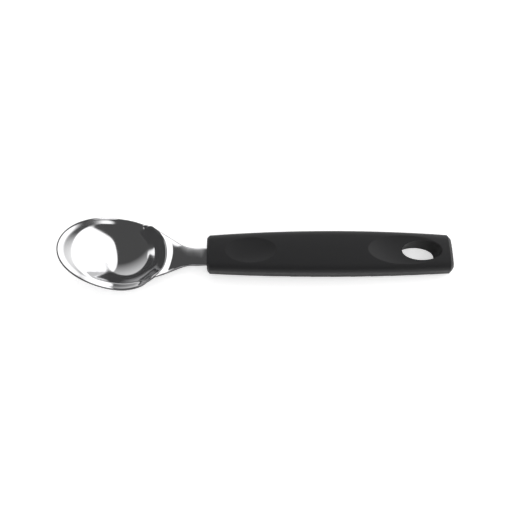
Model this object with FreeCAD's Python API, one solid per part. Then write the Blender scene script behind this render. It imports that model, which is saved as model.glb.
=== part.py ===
import FreeCAD, Part
import math
import os

# An ice cream spoon of two pieces: a stamped steel bowl with its neck and tang,
# and a plastic handle that is moulded round the tang.
# Sizes are in millimetres and degrees. While it is built, the spoon points along X,
# from the bowl's tip at 0 to the tail, and heights count from a level inside the handle.
# At the end the spoon is laid down as it rests on a table.

# Steel sheet, its outline from above
SHEET = 2.2
BOWL_WIDTH = 38.4
BOWL_WIDEST_AT = 28.4
FLANK_RADIUS = 28.0
FLANK_ANGLE = 28.0
NECK_WIDTH = 9.6
NECK_FILLET_RADIUS = 20.0
TANG_LENGTH = 76.0
TANG_HOLE_RADIUS = 2.0
TANG_HOLE_FROM_END = 9.0

# Steel sheet, its upper face from the side
TIP_HEIGHT = 12.4
FRONT_ANGLE = 27.5
VALLEY_AT = 36.4
VALLEY_RADIUS = 20.0
RIDGE_AT = 55.2
RIDGE_HEIGHT = 1.6
RIDGE_INNER_RADIUS = 2.0
RIDGE_PLAN_RADIUS = 30.0
STEP_RUN = 8.6
STEP_FOOT_RADIUS = 14.0
NECK_HEIGHT = -4.0
BRIM_CROSS_RADIUS = 90.0

# Dish pressed into the sheet
DISH_RADIUS = 18.5
DISH_CENTRE_AT = 33.4
DISH_FLOOR_HEIGHT = -9.6
DISH_FRONT_ANGLE = 43.0
DISH_REAR_ANGLE = 40.5

# Handle
HANDLE_AT = 73.4
HANDLE_LENGTH = 129.5
HANDLE_FLOOR = -6.9
HANDLE_WIDTH = 22.8
HANDLE_THICKNESS = 15.0
SIDE_BOW = 1.85
TOP_BOW = 2.4
CROWN_RADIUS = 30.0
UPPER_EDGE_RADIUS = 5.0
LOWER_EDGE_RADIUS = 2.8
FRONT_BEVEL = 1.2
TAIL_BEVEL = 1.8
TAIL_LEAN = 14.0

# Hollows and hole in the handle, the first from its front end and the others from its tail
THUMB_DISH_AT = 22.4
THUMB_DISH_LENGTH = 27.0
THUMB_DISH_WIDTH = 13.7
THUMB_DISH_DEPTH = 2.2
TAIL_DISH_FROM_TAIL = 28.1
TAIL_DISH_LENGTH = 41.0
TAIL_DISH_WIDTH = 16.0
TAIL_DISH_DEPTH = 2.4
HANG_HOLE_FROM_TAIL = 19.2
HANG_HOLE_LENGTH = 20.4
HANG_HOLE_WIDTH = 10.6

# Cutters reach this far past whatever they trim
REACH = 60.0
# Spare sheet on every side, cut away along the outline
SPARE = 2.0
# Side profiles that shape the sheet
SHEET_SECTION_COUNT = 7

Y_AXIS = FreeCAD.Vector(0, 1, 0)
Z_AXIS = FreeCAD.Vector(0, 0, 1)
ORIGIN = FreeCAD.Vector(0, 0, 0)


def tangent(degrees):
    return math.tan(math.radians(degrees))


def spaced(first, last, count):
    """Evenly spaced values, both ends included."""
    return [first + (last - first) * i / (count - 1) for i in range(count)]


def bent_line(corners, radii):
    """Straight runs joined by a tangent arc at each inner corner."""
    edges = []
    start = corners[0]
    for before, corner, after, radius in zip(corners, corners[1:], corners[2:], radii):
        back = (before - corner).normalize()
        ahead = (after - corner).normalize()
        half_angle = back.getAngle(ahead) / 2
        reach = radius / math.tan(half_angle)
        nearest = radius / math.sin(half_angle) - radius
        middle = corner + (back + ahead).normalize() * nearest
        edges.append(Part.LineSegment(start, corner + back * reach).toShape())
        edges.append(Part.Arc(corner + back * reach, middle, corner + ahead * reach).toShape())
        start = corner + ahead * reach
    edges.append(Part.LineSegment(start, corners[-1]).toShape())
    return edges


def lowered(corners, depth):
    """The corners of a line that runs along X, moved square to the line, downwards."""
    normals = []
    for start, end in zip(corners, corners[1:]):
        run = (end - start).normalize()
        normals.append(FreeCAD.Vector(run.z, 0, -run.x))
    moved = [corners[0] + normals[0] * depth]
    for corner, before, after in zip(corners[1:], normals, normals[1:]):
        moved.append(corner + (before + after) * (depth / (1 + before.dot(after))))
    moved.append(corners[-1] + normals[-1] * depth)
    return moved


def tang_end():
    return HANDLE_AT + TANG_LENGTH


def sheet_corners(y):
    """Upper face of the sheet from the side, at a distance y from the middle.

    The ridge behind the bowl is curved from above and the bowl's brim is a little
    hollow across, so both move with y. The neck is flat across.
    """
    rise = y * y / (2 * BRIM_CROSS_RADIUS)
    sweep = y * y / (2 * RIDGE_PLAN_RADIUS)
    slope = tangent(FRONT_ANGLE)
    ridge_x = RIDGE_AT - sweep
    return [
        FreeCAD.Vector(-SPARE, y, TIP_HEIGHT + slope * SPARE + rise),
        FreeCAD.Vector(VALLEY_AT, y, TIP_HEIGHT - slope * VALLEY_AT + rise),
        FreeCAD.Vector(ridge_x, y, RIDGE_HEIGHT + rise),
        FreeCAD.Vector(ridge_x + STEP_RUN, y, NECK_HEIGHT),
        FreeCAD.Vector(tang_end() + SPARE, y, NECK_HEIGHT),
    ]


def sheet_underside(upper):
    """Corners and edges of the sheet's lower face, one thickness below the upper corners."""
    lower = lowered(upper, SHEET)
    edges = bent_line(lower, [VALLEY_RADIUS + SHEET, RIDGE_INNER_RADIUS, STEP_FOOT_RADIUS + SHEET])
    return lower, edges[::-1]


def deep_underside(upper):
    """Corners and one straight edge far below the sheet."""
    lower = [corner - Z_AXIS * REACH for corner in upper]
    return lower, [Part.LineSegment(lower[-1], lower[0]).toShape()]


def sheet_block(underside):
    """Solid from the sheet's upper face down to an underside, before it is cut to its outline."""
    sections = []
    side = BOWL_WIDTH / 2 + SPARE
    for y in spaced(-side, side, SHEET_SECTION_COUNT):
        upper = sheet_corners(y)
        top = bent_line(upper, [VALLEY_RADIUS, RIDGE_INNER_RADIUS + SHEET, STEP_FOOT_RADIUS])
        lower, bottom = underside(upper)
        back = Part.LineSegment(upper[-1], lower[-1]).toShape()
        front = Part.LineSegment(lower[0], upper[0]).toShape()
        sections.append(Part.Wire(top + [back] + bottom + [front]))
    return Part.makeLoft(sections, True)


def sheet_outline():
    """Egg-shaped bowl, waisted neck and round-ended tang, from above."""
    half = BOWL_WIDTH / 2
    half_neck = NECK_WIDTH / 2
    widest = FreeCAD.Vector(BOWL_WIDEST_AT, 0, 0)
    nose = Part.ArcOfEllipse(Part.Ellipse(widest, BOWL_WIDEST_AT, half), math.pi / 2, math.pi)
    flank_centre = FreeCAD.Vector(BOWL_WIDEST_AT, half - FLANK_RADIUS, 0)
    flank_end_angle = math.radians(90 - FLANK_ANGLE)
    flank = Part.ArcOfCircle(Part.Circle(flank_centre, Z_AXIS, FLANK_RADIUS), flank_end_angle, math.pi / 2)
    flank_end = flank.StartPoint
    to_neck = (flank_end.y - half_neck) / tangent(FLANK_ANGLE)
    waist = FreeCAD.Vector(flank_end.x + to_neck, half_neck, 0)
    round_start = FreeCAD.Vector(tang_end() - half_neck, half_neck, 0)
    upper = [nose.toShape(), flank.toShape()]
    upper += bent_line([flank_end, waist, round_start], [NECK_FILLET_RADIUS])
    lower = [edge.mirror(ORIGIN, Y_AXIS) for edge in upper]
    end = Part.Arc(round_start, FreeCAD.Vector(tang_end(), 0, 0), FreeCAD.Vector(round_start.x, -half_neck, 0))
    edges = Part.__sortEdges__(upper + [end.toShape()] + lower)
    return Part.Face(Part.Wire(edges))


def dish_former(radius):
    """A ball with two round ramps, one up to the bowl's tip and one up to the ridge."""
    centre = FreeCAD.Vector(DISH_CENTRE_AT, 0, DISH_FLOOR_HEIGHT + DISH_RADIUS)
    former = Part.makeSphere(radius, centre, Y_AXIS)
    for angle, way in ((DISH_FRONT_ANGLE, -1), (DISH_REAR_ANGLE, 1)):
        slope = math.radians(angle)
        direction = FreeCAD.Vector(way * math.cos(slope), 0, math.sin(slope))
        former = former.fuse(Part.makeCylinder(radius, REACH, centre, direction))
    return former.removeSplitter()


def steel_spoon():
    outline = sheet_outline()
    outline.translate(FreeCAD.Vector(0, 0, -REACH))
    trim = outline.extrude(FreeCAD.Vector(0, 0, 2 * REACH))
    pressed = dish_former(DISH_RADIUS + SHEET).common(sheet_block(deep_underside))
    spoon = sheet_block(sheet_underside).fuse(pressed).common(trim)
    spoon = spoon.cut(dish_former(DISH_RADIUS))
    hole_place = FreeCAD.Vector(tang_end() - TANG_HOLE_FROM_END, 0, -REACH)
    spoon = spoon.cut(Part.makeCylinder(TANG_HOLE_RADIUS, 2 * REACH, hole_place))
    return spoon.removeSplitter().Solids[0]


def arc_radius(chord, sag):
    return (chord * chord / 4 + sag * sag) / (2 * sag)


def crown_sweep_radius():
    """The top's arc from the side, from end to end of the handle."""
    return arc_radius(HANDLE_LENGTH, TOP_BOW)


def crown_sweep_centre():
    height = HANDLE_FLOOR + HANDLE_THICKNESS - crown_sweep_radius()
    return FreeCAD.Vector(HANDLE_AT + HANDLE_LENGTH / 2, 0, height)


def ring(sweep_radius, cross_radius, centre):
    """A ring standing upright along X. Its surface joins up on the inner side and half way up, clear of its use."""
    made = Part.makeTorus(sweep_radius - cross_radius, cross_radius, centre, Y_AXIS, -180, 180, 360)
    made.rotate(centre, Y_AXIS, 90)
    return made


def side_drum(way):
    """A large upright cylinder that bows one long side of the handle."""
    radius = arc_radius(HANDLE_LENGTH, SIDE_BOW)
    base = FreeCAD.Vector(HANDLE_AT + HANDLE_LENGTH / 2, way * (HANDLE_WIDTH / 2 - radius), -REACH)
    drum = Part.makeCylinder(radius, 2 * REACH, base)
    drum.rotate(base, Z_AXIS, 45)
    return drum


def side_profile():
    """The handle's flat underside, upright front and leaning tail, from side to side."""
    tail_at = HANDLE_AT + HANDLE_LENGTH
    top = HANDLE_FLOOR + REACH
    corners = [
        FreeCAD.Vector(HANDLE_AT, -REACH, HANDLE_FLOOR),
        FreeCAD.Vector(HANDLE_AT, -REACH, top),
        FreeCAD.Vector(tail_at - REACH * tangent(TAIL_LEAN), -REACH, top),
        FreeCAD.Vector(tail_at, -REACH, HANDLE_FLOOR),
    ]
    face = Part.Face(Part.makePolygon(corners + corners[:1]))
    return face.extrude(FreeCAD.Vector(0, 2 * REACH, 0))


def long_edges(body, upper):
    """The handle's long edges, either the upper or the lower ones."""
    middle = HANDLE_FLOOR + HANDLE_THICKNESS / 2
    edges = [edge for edge in body.Edges if edge.Length > HANDLE_LENGTH / 2]
    return [edge for edge in edges if (edge.CenterOfMass.z > middle) == upper]


def handle_body():
    """The handle's outer form, between two drums, under a crowned ring, with its edges eased."""
    body = side_profile().common(side_drum(1)).common(side_drum(-1))
    body = body.common(ring(crown_sweep_radius(), CROWN_RADIUS, crown_sweep_centre()))
    body = body.makeFillet(LOWER_EDGE_RADIUS, long_edges(body, False))
    body = body.makeFillet(UPPER_EDGE_RADIUS, long_edges(body, True))
    for bevel, place in ((FRONT_BEVEL, min), (TAIL_BEVEL, max)):
        end_face = place(body.Faces, key=lambda face: face.CenterOfMass.x)
        body = body.makeChamfer(bevel, end_face.Edges)
    return body


def hollow_cutter(along, length, width, depth):
    """A ring whose outer side presses an oval hollow into the crowned top."""
    long_radius = length * length / (8 * depth)
    cross_radius = 1 / (8 * depth / (width * width) - 1 / CROWN_RADIUS)
    turn = math.asin((along - HANDLE_LENGTH / 2) / crown_sweep_radius())
    outwards = FreeCAD.Vector(math.sin(turn), 0, math.cos(turn))
    centre = crown_sweep_centre() + outwards * (crown_sweep_radius() - depth + long_radius)
    return ring(long_radius, cross_radius, centre)


def hang_hole():
    centre = FreeCAD.Vector(HANDLE_AT + HANDLE_LENGTH - HANG_HOLE_FROM_TAIL, 0, -REACH)
    oval = Part.Ellipse(centre, HANG_HOLE_LENGTH / 2, HANG_HOLE_WIDTH / 2)
    return Part.Face(Part.Wire(oval.toShape())).extrude(FreeCAD.Vector(0, 0, 2 * REACH))


def handle(spoon):
    grip = handle_body()
    grip = grip.cut(hollow_cutter(THUMB_DISH_AT, THUMB_DISH_LENGTH, THUMB_DISH_WIDTH, THUMB_DISH_DEPTH))
    tail_dish_at = HANDLE_LENGTH - TAIL_DISH_FROM_TAIL
    grip = grip.cut(hollow_cutter(tail_dish_at, TAIL_DISH_LENGTH, TAIL_DISH_WIDTH, TAIL_DISH_DEPTH))
    grip = grip.cut(hang_hole())
    return grip.cut(spoon).Solids[0]


def resting_tilt():
    """Angle of the table, which touches the bowl's ball and the tail end of the handle's flat underside."""
    radius = DISH_RADIUS + SHEET
    run = HANDLE_AT + HANDLE_LENGTH - TAIL_BEVEL - DISH_CENTRE_AT
    rise = HANDLE_FLOOR - DISH_FLOOR_HEIGHT - DISH_RADIUS
    return math.degrees(math.atan2(rise, run) + math.asin(radius / math.hypot(rise, run)))


def lay_down(pieces):
    """Turn the pieces until bowl and tail both touch the table, and centre them on the origin."""
    tilt = resting_tilt()
    for piece in pieces:
        piece.rotate(ORIGIN, Y_AXIS, tilt)
    box = Part.makeCompound(pieces).optimalBoundingBox(False)
    for piece in pieces:
        piece.translate(FreeCAD.Vector(-box.Center.x, -box.Center.y, -box.ZMin))


def main():
    spoon = steel_spoon()
    grip = handle(spoon)
    lay_down([spoon, grip])
    os.makedirs("parts", exist_ok=True)
    spoon.exportStep("parts/steel_spoon.step")
    grip.exportStep("parts/handle.step")


main()
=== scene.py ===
import math

import bmesh
import bpy
import numpy as np
from mathutils import Matrix, Vector


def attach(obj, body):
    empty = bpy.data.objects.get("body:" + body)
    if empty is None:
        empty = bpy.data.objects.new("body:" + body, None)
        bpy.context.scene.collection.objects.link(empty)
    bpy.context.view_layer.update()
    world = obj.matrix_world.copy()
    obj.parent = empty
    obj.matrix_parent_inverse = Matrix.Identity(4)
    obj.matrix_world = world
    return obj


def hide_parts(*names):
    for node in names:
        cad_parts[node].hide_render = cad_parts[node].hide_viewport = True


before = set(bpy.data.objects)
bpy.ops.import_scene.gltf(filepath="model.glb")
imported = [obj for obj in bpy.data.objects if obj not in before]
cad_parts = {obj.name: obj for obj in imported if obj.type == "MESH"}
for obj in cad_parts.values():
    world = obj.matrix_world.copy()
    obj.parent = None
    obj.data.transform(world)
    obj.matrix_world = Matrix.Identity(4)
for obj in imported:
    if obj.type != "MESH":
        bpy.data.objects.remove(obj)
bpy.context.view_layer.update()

MM = 0.001

# The steel sheet, in the millimetres of its own drawing: X from the bowl's tip to the tail, Y across, Z up
SHEET = 2.2
BOWL_HALF_WIDTH = 19.2
BOWL_WIDEST_AT = 28.4
FLANK_RADIUS = 28.0
FLANK_ANGLE = math.radians(28.0)
NECK_HALF_WIDTH = 4.8
NECK_FILLET_RADIUS = 20.0
TANG_END = 149.4

# How the spoon lies on the table: its tilt, and the place of the dish's ball in the frame (X and Z)
RESTING_TILT = math.radians(1.6767)
BALL_PLACE = (-67.613, 20.7)

# The sheet's side profile: place along it, height and slope in degrees
PROFILE = [
    (-2.0, 13.05, -28.3), (8.0, 7.64, -28.3), (18.0, 2.40, -27.0), (26.0, -1.50, -23.5), (36.0, -3.90, -2.0),
    (44.0, -2.35, 22.0), (50.0, 0.25, 20.0), (51.9, 0.65, 0.0), (52.8, 0.45, -26.0), (54.8, -0.60, -28.5),
    (56.0, -1.07, -15.0), (60.0, -2.08, -13.5), (65.0, -3.22, -11.5), (70.0, -4.00, 0.0), (152.0, -4.00, 0.0)]

# The ridge's curve in plan and the brim's rise to both sides, with the places where they come and go
RIDGE_PLAN_RADIUS = 16.0
RIDGE_CURVE_COMES = (36.0, 46.0)
RIDGE_CURVE_GOES = (58.0, 66.0)
FRONT_CROSS_RADIUS = 45.0
REAR_CROSS_RADIUS = 68.0
FRONT_CROSS_GOES = (12.0, 30.0)
CROSS_RISE_GOES = (46.0, 58.0)

# The dish: a ball with a ramp to the front and one to the rear, and a soft crease where it meets the brim
DISH_RADIUS = 18.5
DISH_CENTRE = (33.4, 8.9)
FRONT_RAMP_SLOPE = math.radians(43.0)
REAR_RAMP_SLOPE = math.radians(44.0)
CREASE_SOFTNESS = 0.45

# The dish's wall leans towards a cone at the front and the sides.
# A way of 1 points to the rear, and one of -1 to the tip.
CONE_SLOPE = math.radians(43.5)
CONE_SHARE = 0.7
CONE_GOES = (0.1, 0.8)

# The ledge at the dish's rear, by its distance from the dish's middle
LEDGE_SLOPE = math.tan(math.radians(29.0))
LEDGE_FROM = 9.0
LEDGE_TO = 12.4
WALL_FROM = 13.8
LEDGE_WAY_COMES = (0.72, 0.95)
LEDGE_REACH_COMES = (8.5, 10.5)

# The lip along the rim, wider and higher at the tip, and the rim's rounding
LIP_WIDTH_FRONT = 3.0
LIP_WIDTH_REAR = 2.0
LIP_HEIGHT_FRONT = 0.5
LIP_HEIGHT_REAR = 0.4
LIP_FRONT_GOES = (8.0, 20.0)
LIP_GOES = (46.0, 54.0)
RIM_ROUNDING = 0.95

# The neck's fall to both sides of its crest
NECK_FALL = 0.15
NECK_CREST_WIDTH = 0.8
NECK_CREST_SHIFT = 2.0
NECK_EDGE_DROP = 0.4
NECK_FALL_COMES = (52.0, 61.0)
NECK_FALL_GOES = (66.0, 73.4)

# How finely the outline and the sheet are divided, where the grids end, and the curve of their rows in plan
TIP_POINTS = 1500
FLANK_POINTS = 400
ROUND_POINTS = 200
OUTLINE_POINTS = 6000
CHORD_PLAN_RADIUS = 30.0
BOWL_GRID_TO = 54.0
NECK_GRID_TO = 74.0
BOWL_STOPS = 171
NECK_STOPS = 90
TANG_STOPS = 37
TANG_END_STOPS = 12
STOPS_ACROSS = 45
RIM_TURNS = np.radians([0, 15, 30, 45, 60, 75, 90])
FIRST_RING = 0.02
DISH_RINGS, CREASE_RINGS, BRIM_RINGS = 24, 15, 12
CREASE_BAND = 1.0
CREASE_FROM = 0.2
CREASE_HALVINGS = 30
SLOPE_STEP = 0.01
TINY = 1e-6
SAME_PLACE = 1e-9
WELD = 0.0001

# Looks. The cut edge comes where the upright share of a face's direction falls from the first value
# to the second. The cut edge's dark colour is painted shade, standing for the dark reflection along the
# upright edge. The added roughness there is the cut edge's own.
STEEL = (0.72, 0.72, 0.73, 1.0)
CUT_EDGE_PAINTED_SHADE = (0.2, 0.2, 0.205, 1.0)
CUT_EDGE_AND_SHADE_UPRIGHT = (0.60, 0.42)
STEEL_ROUGHNESS = (0.06, 0.11)
CUT_EDGE_ROUGHER = 0.25
STEEL_GRAIN = 90.0
PLASTIC = (0.027, 0.027, 0.028, 1.0)
PLASTIC_SHINE = 0.22
PLASTIC_ROUGHNESS = (0.30, 0.38)
PLASTIC_GRAIN = 700.0
PLASTIC_SKIN_GRAIN = 3500.0
PLASTIC_SKIN_STRENGTH = 0.15
PLASTIC_SKIN_DEPTH = 0.00004
NOISE_DETAIL = 3.0
NOISE_RANGE = (0.3, 0.7)
PALE = (0.9, 0.9, 0.9, 1.0)
WHITE = (1.0, 1.0, 1.0, 1.0)

# The floor and the lamp above it, in metres
FLOOR_HALF = 3.0
FLOOR_ROUGHNESS = 0.9
FLOOR_GLOW = 0.52
SOFTBOX_SIZE = (1.8, 1.5)
SOFTBOX_POWER = 10.0
SOFTBOX_PLACE = (0.15, -0.05, 1.15)

# The studio: directions to its sources, the values at their soft edges, and their levels
CEILING_LEVEL = 0.085
FAR_WALL = (-0.45, 0.85, -0.30)
RIGHT_SOURCE = ((0.977, 0.205, -0.062), (0.565, 0.635), 1.6)
LEFT_SOURCE = ((-0.944, 0.157, 0.292), (0.94, 0.985), 1.4)

# The photo's view: target, distance, lens and sensor in millimetres, and in metres where its sight begins
VIEW_ELEVATION = math.radians(72.01)
VIEW_ROLL = math.radians(-0.587)
VIEW_TARGET = (-2.698, -1.316, 10.0)
VIEW_DISTANCE = 267.12
VIEW_LENS = 36.27
VIEW_SENSOR = 36.0
VIEW_CLIP_START = 0.01


def step_between(value, low, high):
    """0 below the low value, 1 above the high one, and a smooth change between them."""
    share = np.clip((value - low) / (high - low), 0, 1)
    return share * share * (3 - 2 * share)


def mixed(one, other, share):
    """A value between two, by a share from 0 to 1."""
    return one + share * (other - one)


def profile_height(along):
    """The side profile: smooth curves through its stops."""
    stops, heights, slopes = np.array(PROFILE).T
    slopes = np.tan(np.radians(slopes))
    index = np.clip(np.searchsorted(stops, along) - 1, 0, len(stops) - 2)
    run = stops[index + 1] - stops[index]
    share = (along - stops[index]) / run
    rest = 1 - share
    low = heights[index] * (1 + 2 * share) * rest * rest
    high = heights[index + 1] * (3 - 2 * share) * share * share
    return (low + high + run * slopes[index] * share * rest * rest
            - run * slopes[index + 1] * share * share * rest)


def past_widest(x):
    """How far the flank's arc has run at x."""
    return np.clip(x - BOWL_WIDEST_AT, 0, FLANK_RADIUS * math.sin(FLANK_ANGLE))


def flank_half_width(x):
    """Half of the bowl's width behind its widest place: an arc, then a straight flank."""
    past = past_widest(x)
    half = BOWL_HALF_WIDTH - FLANK_RADIUS + np.sqrt(FLANK_RADIUS ** 2 - past ** 2)
    return half - np.maximum(x - BOWL_WIDEST_AT - past, 0) * math.tan(FLANK_ANGLE)


def edge_distance(x, y):
    """Distance from the bowl's outline, measured inwards."""
    front_x, side_y = (x - BOWL_WIDEST_AT) / BOWL_WIDEST_AT, y / BOWL_HALF_WIDTH
    size = np.maximum(np.hypot(front_x, side_y), TINY)
    steepness = np.hypot(front_x / BOWL_WIDEST_AT, side_y / BOWL_HALF_WIDTH) / size
    front = (1 - size) / np.maximum(steepness, TINY)
    flank = (flank_half_width(x) - np.abs(y)) * np.cos(past_widest(x) / FLANK_RADIUS)
    return np.where(x < BOWL_WIDEST_AT, front, flank)


def rim_lip(x, y):
    """How high the lip stands at a point."""
    front_share = 1 - step_between(x, *LIP_FRONT_GOES)
    width = mixed(LIP_WIDTH_REAR, LIP_WIDTH_FRONT, front_share)
    height = mixed(LIP_HEIGHT_REAR, LIP_HEIGHT_FRONT, front_share) * (1 - step_between(x, *LIP_GOES))
    return height * np.maximum(1 - np.maximum(edge_distance(x, y), 0) / width, 0) ** 2


def brim_height(x, y):
    """The sheet around the dish: side profile, rise across, curved ridge and lip."""
    curve = step_between(x, *RIDGE_CURVE_COMES) * y * y / (2 * RIDGE_PLAN_RADIUS)
    along = x + curve * (1 - step_between(x, *RIDGE_CURVE_GOES))
    front_share = 1 - step_between(x, *FRONT_CROSS_GOES)
    rise = y * y / 2 * mixed(1 / REAR_CROSS_RADIUS, 1 / FRONT_CROSS_RADIUS, front_share)
    rise = rise * (1 - step_between(x, *CROSS_RISE_GOES))
    return profile_height(along) + rise + rim_lip(x, y)


def ball_and_ramps(along, y):
    """The ball, with a straight ramp that leaves it at its own slope to the front and to the rear."""
    centre_z = DISH_CENTRE[1]
    across = np.sqrt(np.maximum(DISH_RADIUS ** 2 - y ** 2, 0))
    ball = centre_z - np.sqrt(np.maximum(across ** 2 - along ** 2, 0))
    front = centre_z - along * math.tan(FRONT_RAMP_SLOPE) - across / math.cos(FRONT_RAMP_SLOPE)
    rear = centre_z + along * math.tan(REAR_RAMP_SLOPE) - across / math.cos(REAR_RAMP_SLOPE)
    height = np.where(along < -across * math.sin(FRONT_RAMP_SLOPE), front, ball)
    height = np.where(along > across * math.sin(REAR_RAMP_SLOPE), rear, height)
    return np.where(np.abs(y) < DISH_RADIUS, height, centre_z + DISH_RADIUS)


def cone_wall(reach):
    """The ball up to the cone's slope, and from there a straight wall, by distance from the dish's middle."""
    centre_z = DISH_CENTRE[1]
    cone_from = DISH_RADIUS * math.sin(CONE_SLOPE)
    cone = centre_z - DISH_RADIUS * math.cos(CONE_SLOPE) + (reach - cone_from) * math.tan(CONE_SLOPE)
    ball = centre_z - np.sqrt(DISH_RADIUS ** 2 - np.minimum(reach, cone_from) ** 2)
    return np.where(reach < cone_from, ball, cone)


def rear_ledge(reach):
    """A gentle ledge that bends up into the rear wall, by distance from the dish's middle."""
    past = np.clip(reach - LEDGE_TO, 0, WALL_FROM - LEDGE_TO)
    steeper = math.tan(REAR_RAMP_SLOPE) - LEDGE_SLOPE
    start = DISH_CENTRE[1] - math.sqrt(DISH_RADIUS ** 2 - LEDGE_FROM ** 2)
    bend = steeper * past * past / (2 * (WALL_FROM - LEDGE_TO))
    return start + (reach - LEDGE_FROM) * LEDGE_SLOPE + bend + steeper * np.maximum(reach - WALL_FROM, 0)


def dish_height(x, y):
    """The dish: ball and ramps, a cone's wall at the front and the sides, and the ledge at the rear."""
    along = x - DISH_CENTRE[0]
    reach = np.hypot(along, y)
    way = along / np.maximum(reach, TINY)
    height = ball_and_ramps(along, y)
    height = mixed(height, cone_wall(reach), CONE_SHARE * (1 - step_between(way, *CONE_GOES)))
    share = step_between(way, *LEDGE_WAY_COMES) * step_between(reach, *LEDGE_REACH_COMES)
    return mixed(height, rear_ledge(reach), share)


def soft_lower(one, other, softness):
    """The lower of two heights, blended where they meet."""
    share = np.maximum(softness - np.abs(one - other), 0) / softness
    return np.minimum(one, other) - share * share * softness / 4


def neck_fall(x, y):
    """How far the neck falls away to both sides where it shows, between the bowl and the handle."""
    half = np.maximum(flank_half_width(x), NECK_HALF_WIDTH)
    across = np.clip(y / half, -1, 1)
    crest = NECK_HALF_WIDTH * across + NECK_CREST_SHIFT
    drop = NECK_FALL * (np.hypot(NECK_CREST_WIDTH, crest) - NECK_CREST_WIDTH) + NECK_EDGE_DROP * across ** 4
    return drop * step_between(x, *NECK_FALL_COMES) * (1 - step_between(x, *NECK_FALL_GOES))


def upper_height(x, y):
    """The sheet's upper face."""
    return soft_lower(brim_height(x, y), dish_height(x, y), CREASE_SOFTNESS) - neck_fall(x, y)


def lower_height(x, y):
    """The sheet's underside, as far below its upper face as the sheet is thick."""
    slope_x = (upper_height(x + SLOPE_STEP, y) - upper_height(x - SLOPE_STEP, y)) / (2 * SLOPE_STEP)
    slope_y = (upper_height(x, y + SLOPE_STEP) - upper_height(x, y - SLOPE_STEP)) / (2 * SLOPE_STEP)
    return upper_height(x, y) - SHEET * np.sqrt(1 + slope_x ** 2 + slope_y ** 2)


class Outline:
    """Half of the sheet's outline from tip to tang end: points, outward normals and distance along it."""

    def __init__(self):
        x, y = self.arcs()
        along = np.concatenate([[0], np.cumsum(np.hypot(np.diff(x), np.diff(y)))])
        keep = np.concatenate([[True], np.diff(along) > SAME_PLACE])
        x, y, along = x[keep], y[keep], along[keep]
        self.along = np.linspace(0, along[-1], OUTLINE_POINTS)
        self.x, self.y = np.interp(self.along, along, x), np.interp(self.along, along, y)
        slope_x, slope_y = np.gradient(self.x), np.gradient(self.y)
        length = np.hypot(slope_x, slope_y)
        self.out_x, self.out_y = -slope_y / length, slope_x / length
        self.out_x[0], self.out_y[0] = -1.0, 0.0
        self.out_x[-1], self.out_y[-1] = 1.0, 0.0

    def arcs(self):
        """Tip, flank, the fillet into the neck, and the tang's round end."""
        turn = np.linspace(math.pi, math.pi / 2, TIP_POINTS)
        x = [BOWL_WIDEST_AT * (1 + np.cos(turn))]
        y = [BOWL_HALF_WIDTH * np.sin(turn)]
        turn = np.linspace(0, FLANK_ANGLE, FLANK_POINTS)
        x.append(BOWL_WIDEST_AT + FLANK_RADIUS * np.sin(turn))
        y.append(BOWL_HALF_WIDTH - FLANK_RADIUS * (1 - np.cos(turn)))
        corner = x[-1][-1] + (y[-1][-1] - NECK_HALF_WIDTH) / math.tan(FLANK_ANGLE)
        fillet_end = corner + NECK_FILLET_RADIUS * math.tan(FLANK_ANGLE / 2)
        turn = np.linspace(FLANK_ANGLE, 0, ROUND_POINTS)
        x.append(fillet_end - NECK_FILLET_RADIUS * np.sin(turn))
        y.append(NECK_HALF_WIDTH + NECK_FILLET_RADIUS * (1 - np.cos(turn)))
        turn = np.linspace(math.pi / 2, 0, ROUND_POINTS)
        x.append(TANG_END - NECK_HALF_WIDTH + NECK_HALF_WIDTH * np.cos(turn))
        y.append(NECK_HALF_WIDTH * np.sin(turn))
        return np.concatenate(x), np.concatenate(y)

    def at(self, distance, inset):
        """Points at distances along the outline, moved inwards by the inset."""
        out_x = np.interp(distance, self.along, self.out_x)
        out_y = np.interp(distance, self.along, self.out_y)
        return (np.interp(distance, self.along, self.x) - inset * out_x,
                np.interp(distance, self.along, self.y) - inset * out_y)


class Sheet:
    """Collects the steel's grids of points and their faces."""

    def __init__(self):
        self.points = []
        self.faces = []

    def grid(self, x, y, z, closed=False):
        """Joins rows of points into quads."""
        rows, columns = x.shape
        first = len(self.points)
        self.points.extend(zip(x.ravel(), y.ravel(), z.ravel()))
        for row in range(rows - 1):
            for column in range(columns if closed else columns - 1):
                after = (column + 1) % columns
                corners = [row * columns + column, row * columns + after,
                           (row + 1) * columns + after, (row + 1) * columns + column]
                self.faces.append([first + corner for corner in corners])

    def fan(self, x, y, z, columns, first):
        """Joins the ring that starts at the first point to one point inside it."""
        hub = len(self.points)
        self.points.append((x, y, z))
        self.faces.extend([first + column, first + (column + 1) % columns, hub] for column in range(columns))


def crease_share(x, y):
    """How far along the lines from the dish's middle to the points (x, y) the dish meets the brim."""
    middle = DISH_CENTRE[0]
    low = np.full(x.shape, CREASE_FROM)
    high = np.ones(x.shape)
    for _ in range(CREASE_HALVINGS):
        share = (low + high) / 2
        at_x, at_y = middle + share * (x - middle), share * y
        inside = dish_height(at_x, at_y) < brim_height(at_x, at_y)
        low = np.where(inside, share, low)
        high = np.where(inside, high, share)
    return low


def add_rim(sheet, outline, stops):
    """The rounded rim and the cut edge, from the tang's end round the tip and back."""
    side = np.concatenate([-np.ones(len(stops) - 1), np.ones(len(stops))])
    round_stops = np.concatenate([stops[:0:-1], stops])
    rows = []
    for height, sign, turns in ((upper_height, -1, RIM_TURNS), (lower_height, 1, RIM_TURNS[::-1])):
        for turn in turns:
            x, y = outline.at(round_stops, RIM_ROUNDING * (1 - math.sin(turn)))
            y = y * side
            rows.append((x, y, height(x, y) + sign * RIM_ROUNDING * (1 - math.cos(turn))))
    x, y, z = zip(*rows)
    sheet.grid(np.array(x), np.array(y), np.array(z))


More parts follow.
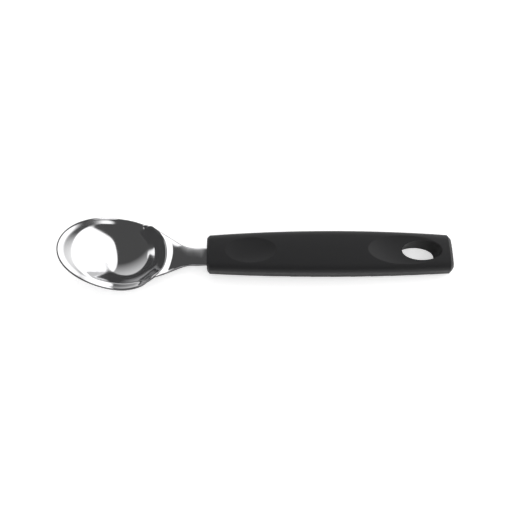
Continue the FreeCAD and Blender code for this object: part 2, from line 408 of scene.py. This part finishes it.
def add_bowl(sheet, outline, stops, across):
    """Dish and brim: rings round the dish's middle, closest together at the crease."""
    middle = DISH_CENTRE[0]
    edge_x, edge_y = outline.at(stops, RIM_ROUNDING)
    chord_y = across[1:-1] * edge_y[-1]
    chord_x = edge_x[-1] + (edge_y[-1] ** 2 - chord_y ** 2) / (2 * CHORD_PLAN_RADIUS)
    loop_y = np.concatenate([-edge_y[:0:-1], edge_y, chord_y])
    loop_x = np.concatenate([edge_x[:0:-1], edge_x, chord_x])
    crease = crease_share(loop_x, loop_y)
    near = CREASE_BAND / np.hypot(loop_x - middle, loop_y)
    shares = [FIRST_RING + (crease - near - FIRST_RING) * step for step in np.linspace(0, 1, DISH_RINGS)]
    shares += [crease - near + 2 * near * step for step in np.linspace(0, 1, CREASE_RINGS)[1:]]
    shares += [crease + near + (1 - crease - near) * step for step in np.linspace(0, 1, BRIM_RINGS)[1:]]
    shares = np.array(shares)
    ring_x = middle + shares * (loop_x - middle)
    ring_y = shares * loop_y
    for height in (upper_height, lower_height):
        first = len(sheet.points)
        sheet.grid(ring_x, ring_y, height(ring_x, ring_y), closed=True)
        bottom = float(height(np.array(middle), np.array(0.0)))
        sheet.fan(middle, 0.0, bottom, ring_x.shape[1], first)


def add_strip(sheet, outline, stops, across):
    """Ridge, neck and tang: curved rows from side to side."""
    edge_x, edge_y = outline.at(stops, RIM_ROUNDING)
    edge_y = np.maximum(edge_y, 0)
    strip_y = edge_y[:, None] * across[None, :]
    strip_x = edge_x[:, None] + (edge_y[:, None] ** 2 - strip_y ** 2) / (2 * CHORD_PLAN_RADIUS)
    for height in (upper_height, lower_height):
        sheet.grid(strip_x, strip_y, height(strip_x, strip_y))


def steel_sheet():
    """The whole sheet: a rounded rim all round, the bowl, and a strip for ridge, neck and tang."""
    outline = Outline()
    inner_x, inner_y = outline.at(outline.along, RIM_ROUNDING)
    chord_reach = inner_x + inner_y ** 2 / (2 * CHORD_PLAN_RADIUS)
    bowl = outline.along[np.argmax(chord_reach > BOWL_GRID_TO)]
    neck = outline.along[np.argmax(outline.x > NECK_GRID_TO)]
    tang = outline.along[np.argmax(outline.x > TANG_END - NECK_HALF_WIDTH)]
    bowl_stops = np.linspace(0, bowl, BOWL_STOPS)
    strip_stops = np.concatenate([
        np.linspace(bowl, neck, NECK_STOPS),
        np.linspace(neck, tang, TANG_STOPS)[1:],
        np.linspace(tang, outline.along[-1], TANG_END_STOPS)[1:]])
    across = np.linspace(1, -1, STOPS_ACROSS)
    sheet = Sheet()
    add_rim(sheet, outline, np.concatenate([bowl_stops, strip_stops[1:]]))
    add_bowl(sheet, outline, bowl_stops, across)
    add_strip(sheet, outline, strip_stops, across)
    return sheet


def laid_down(points):
    """From the drawing's millimetres to the frame's metres, resting on the table."""
    x, y, z = np.array(points).T
    x = x - DISH_CENTRE[0]
    z = z - DISH_CENTRE[1]
    cosine, sine = math.cos(RESTING_TILT), math.sin(RESTING_TILT)
    turned_x = x * cosine + z * sine + BALL_PLACE[0]
    turned_z = z * cosine - x * sine + BALL_PLACE[1]
    return np.stack([turned_x, y, turned_z], 1) * MM


def piece_from(name, points, faces):
    """A smooth-shaded object, its shared corners welded and its faces turned outwards."""
    mesh = bpy.data.meshes.new(name)
    mesh.from_pydata(points.tolist(), [], faces)
    work = bmesh.new()
    work.from_mesh(mesh)
    bmesh.ops.remove_doubles(work, verts=work.verts, dist=WELD * MM)
    bmesh.ops.recalc_face_normals(work, faces=work.faces)
    work.to_mesh(mesh)
    work.free()
    mesh.polygons.foreach_set("use_smooth", [True] * len(mesh.polygons))
    piece = bpy.data.objects.new(name, mesh)
    bpy.context.scene.collection.objects.link(piece)
    return piece


def pressed_steel():
    sheet = steel_sheet()
    piece = piece_from("pressed_steel", laid_down(sheet.points), sheet.faces)
    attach(piece, "root")
    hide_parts("steel_spoon")
    return piece


def node(tree, kind, **values):
    """A shader node, with its settings and the plain values of its inputs."""
    made = tree.nodes.new(kind)
    for name, value in values.items():
        if name in made.inputs:
            made.inputs[name].default_value = value
        else:
            setattr(made, name, value)
    return made


def new_material(name):
    material = bpy.data.materials.new(name)
    material.use_nodes = True
    tree = material.node_tree
    return material, tree, tree.nodes["Principled BSDF"]


def noise(tree, scale):
    """Noise in the part's own metres, so its grain keeps its size."""
    place = node(tree, "ShaderNodeTexCoord")
    texture = node(tree, "ShaderNodeTexNoise", Scale=scale, Detail=NOISE_DETAIL)
    tree.links.new(place.outputs["Object"], texture.inputs["Vector"])
    return texture.outputs["Fac"]


def spread(tree, value, given, wanted, interpolation="LINEAR"):
    """Spreads a value from the range that it is given in over the range that is wanted."""
    ranged = node(tree, "ShaderNodeMapRange", interpolation_type=interpolation)
    ranged.inputs["From Min"].default_value, ranged.inputs["From Max"].default_value = given
    ranged.inputs["To Min"].default_value, ranged.inputs["To Max"].default_value = wanted
    tree.links.new(value, ranged.inputs["Value"])
    return ranged.outputs["Result"]


def mixed_colour(tree, share, one, other):
    """A colour between two, by a share from 0 to 1."""
    mix = node(tree, "ShaderNodeMix", data_type="RGBA")
    colours = [socket for socket in mix.inputs if socket.type == "RGBA"]
    colours[0].default_value, colours[1].default_value = one, other
    tree.links.new(share, mix.inputs["Factor"])
    return [socket for socket in mix.outputs if socket.type == "RGBA"][0]


def polished_steel():
    """Bright steel with a dull, rougher cut edge where the sheet's face stands upright. The edge's darker
    colour is painted shade, standing for the dark reflection along the edge.
    """
    material, tree, shader = new_material("polished_steel")
    shader.inputs["Metallic"].default_value = 1.0
    facing = node(tree, "ShaderNodeNewGeometry")
    axes = node(tree, "ShaderNodeSeparateXYZ")
    level = node(tree, "ShaderNodeMath", operation="ABSOLUTE")
    tree.links.new(facing.outputs["Normal"], axes.inputs[0])
    tree.links.new(axes.outputs["Z"], level.inputs[0])
    # The upright faces get a darker colour, which is painted shade standing for the dark reflection there,
    # and a rougher finish.
    edge = spread(tree, level.outputs[0], CUT_EDGE_AND_SHADE_UPRIGHT, (0.0, 1.0), "SMOOTHSTEP")
    tree.links.new(mixed_colour(tree, edge, STEEL, CUT_EDGE_PAINTED_SHADE), shader.inputs["Base Color"])
    rougher = node(tree, "ShaderNodeMath", operation="MULTIPLY_ADD")
    rougher.inputs[1].default_value = CUT_EDGE_ROUGHER
    tree.links.new(edge, rougher.inputs[0])
    tree.links.new(spread(tree, noise(tree, STEEL_GRAIN), NOISE_RANGE, STEEL_ROUGHNESS), rougher.inputs[2])
    tree.links.new(rougher.outputs[0], shader.inputs["Roughness"])
    return material


def black_plastic():
    """Black plastic with a fine, slightly uneven skin."""
    material, tree, shader = new_material("black_plastic")
    shader.inputs["Base Color"].default_value = PLASTIC
    shader.inputs["Specular IOR Level"].default_value = PLASTIC_SHINE
    roughness = spread(tree, noise(tree, PLASTIC_GRAIN), NOISE_RANGE, PLASTIC_ROUGHNESS)
    tree.links.new(roughness, shader.inputs["Roughness"])
    skin = node(tree, "ShaderNodeBump", Strength=PLASTIC_SKIN_STRENGTH, Distance=PLASTIC_SKIN_DEPTH)
    tree.links.new(noise(tree, PLASTIC_SKIN_GRAIN), skin.inputs["Height"])
    tree.links.new(skin.outputs["Normal"], shader.inputs["Normal"])
    return material


def dress(piece, material):
    """Puts the material on every face of a piece."""
    for slot in piece.material_slots:
        slot.material = material
    if not piece.material_slots:
        piece.data.materials.append(material)


def floor():
    """A pale floor that the camera sees as white, with the spoon's shadow kept."""
    mesh = bpy.data.meshes.new("floor")
    corners = [(x * FLOOR_HALF, y * FLOOR_HALF, 0) for x, y in ((-1, -1), (1, -1), (1, 1), (-1, 1))]
    mesh.from_pydata(corners, [], [(0, 1, 2, 3)])
    piece = bpy.data.objects.new("floor", mesh)
    bpy.context.scene.collection.objects.link(piece)
    material, tree, shader = new_material("pale_floor")
    shader.inputs["Base Color"].default_value = PALE
    shader.inputs["Roughness"].default_value = FLOOR_ROUGHNESS
    rays = node(tree, "ShaderNodeLightPath")
    glow = node(tree, "ShaderNodeEmission")
    level = node(tree, "ShaderNodeMath", operation="MULTIPLY")
    level.inputs[1].default_value = FLOOR_GLOW
    both = node(tree, "ShaderNodeAddShader")
    tree.links.new(rays.outputs["Is Camera Ray"], level.inputs[0])
    tree.links.new(level.outputs[0], glow.inputs["Strength"])
    tree.links.new(shader.outputs[0], both.inputs[0])
    tree.links.new(glow.outputs[0], both.inputs[1])
    tree.links.new(both.outputs[0], tree.nodes["Material Output"].inputs["Surface"])
    mesh.materials.append(material)


def overhead_softbox():
    """A broad lamp above the table for the matt surfaces. The steel mirrors the studio's other sources."""
    light = bpy.data.lights.new("overhead_softbox", "AREA")
    light.shape = "RECTANGLE"
    light.size, light.size_y = SOFTBOX_SIZE
    light.energy = SOFTBOX_POWER
    lamp = bpy.data.objects.new("overhead_softbox", light)
    lamp.location = SOFTBOX_PLACE
    lamp.rotation_euler = (-lamp.location).to_track_quat("-Z", "Y").to_euler()
    lamp.visible_camera = False
    lamp.visible_glossy = False
    bpy.context.scene.collection.objects.link(lamp)


def toward(tree, direction):
    """How far a ray of the world points along a direction."""
    place = node(tree, "ShaderNodeTexCoord")
    product = node(tree, "ShaderNodeVectorMath", operation="DOT_PRODUCT")
    product.inputs[1].default_value = direction
    tree.links.new(place.outputs["Generated"], product.inputs[0])
    return product.outputs["Value"]


def soft_source(tree, direction, edge, level):
    """A round soft source on the studio's wall, as wide as its edge values say."""
    return spread(tree, toward(tree, direction), edge, (0.0, level), "SMOOTHSTEP")


def brighter(tree, one, other):
    """The greater of two levels, each a plain number or a node's output."""
    pick = node(tree, "ShaderNodeMath", operation="MAXIMUM")
    for value, socket in zip((one, other), pick.inputs):
        if isinstance(value, float):
            socket.default_value = value
        else:
            tree.links.new(value, socket)
    return pick.outputs[0]


def studio():
    """A dark ceiling, a wide white source on the right, a small one on the left, and a far wall that
    brightens towards the table. The camera sees plain white."""
    scene = bpy.context.scene
    scene.world = bpy.data.worlds.new("studio")
    scene.world.use_nodes = True
    tree = scene.world.node_tree
    background = tree.nodes["Background"]
    background.inputs["Color"].default_value = WHITE
    walls = brighter(tree, CEILING_LEVEL, toward(tree, FAR_WALL))
    sources = brighter(tree, soft_source(tree, *LEFT_SOURCE), soft_source(tree, *RIGHT_SOURCE))
    rays = node(tree, "ShaderNodeLightPath")
    shown = brighter(tree, brighter(tree, walls, sources), rays.outputs["Is Camera Ray"])
    tree.links.new(shown, background.inputs["Strength"])


def camera():
    """The photo's view: 72 degrees above the table, from the near side."""
    forward = Vector((0, math.cos(VIEW_ELEVATION), -math.sin(VIEW_ELEVATION)))
    right = Vector((1, 0, 0))
    up = right.cross(forward)
    turned_right = right * math.cos(VIEW_ROLL) + up * math.sin(VIEW_ROLL)
    turned_up = up * math.cos(VIEW_ROLL) - right * math.sin(VIEW_ROLL)
    turn = Matrix((turned_right, turned_up, -forward)).transposed().to_4x4()
    eye = bpy.data.objects.new("camera", bpy.data.cameras.new("camera"))
    eye.data.lens = VIEW_LENS
    eye.data.sensor_width = VIEW_SENSOR
    eye.data.clip_start = VIEW_CLIP_START
    place = Vector(VIEW_TARGET) * MM - forward * VIEW_DISTANCE * MM
    eye.matrix_world = Matrix.Translation(place) @ turn
    bpy.context.scene.collection.objects.link(eye)
    bpy.context.scene.camera = eye


camera()
floor()
studio()
overhead_softbox()
bpy.context.scene.view_settings.view_transform = "Standard"
dress(pressed_steel(), polished_steel())
dress(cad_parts["handle"], black_plastic())
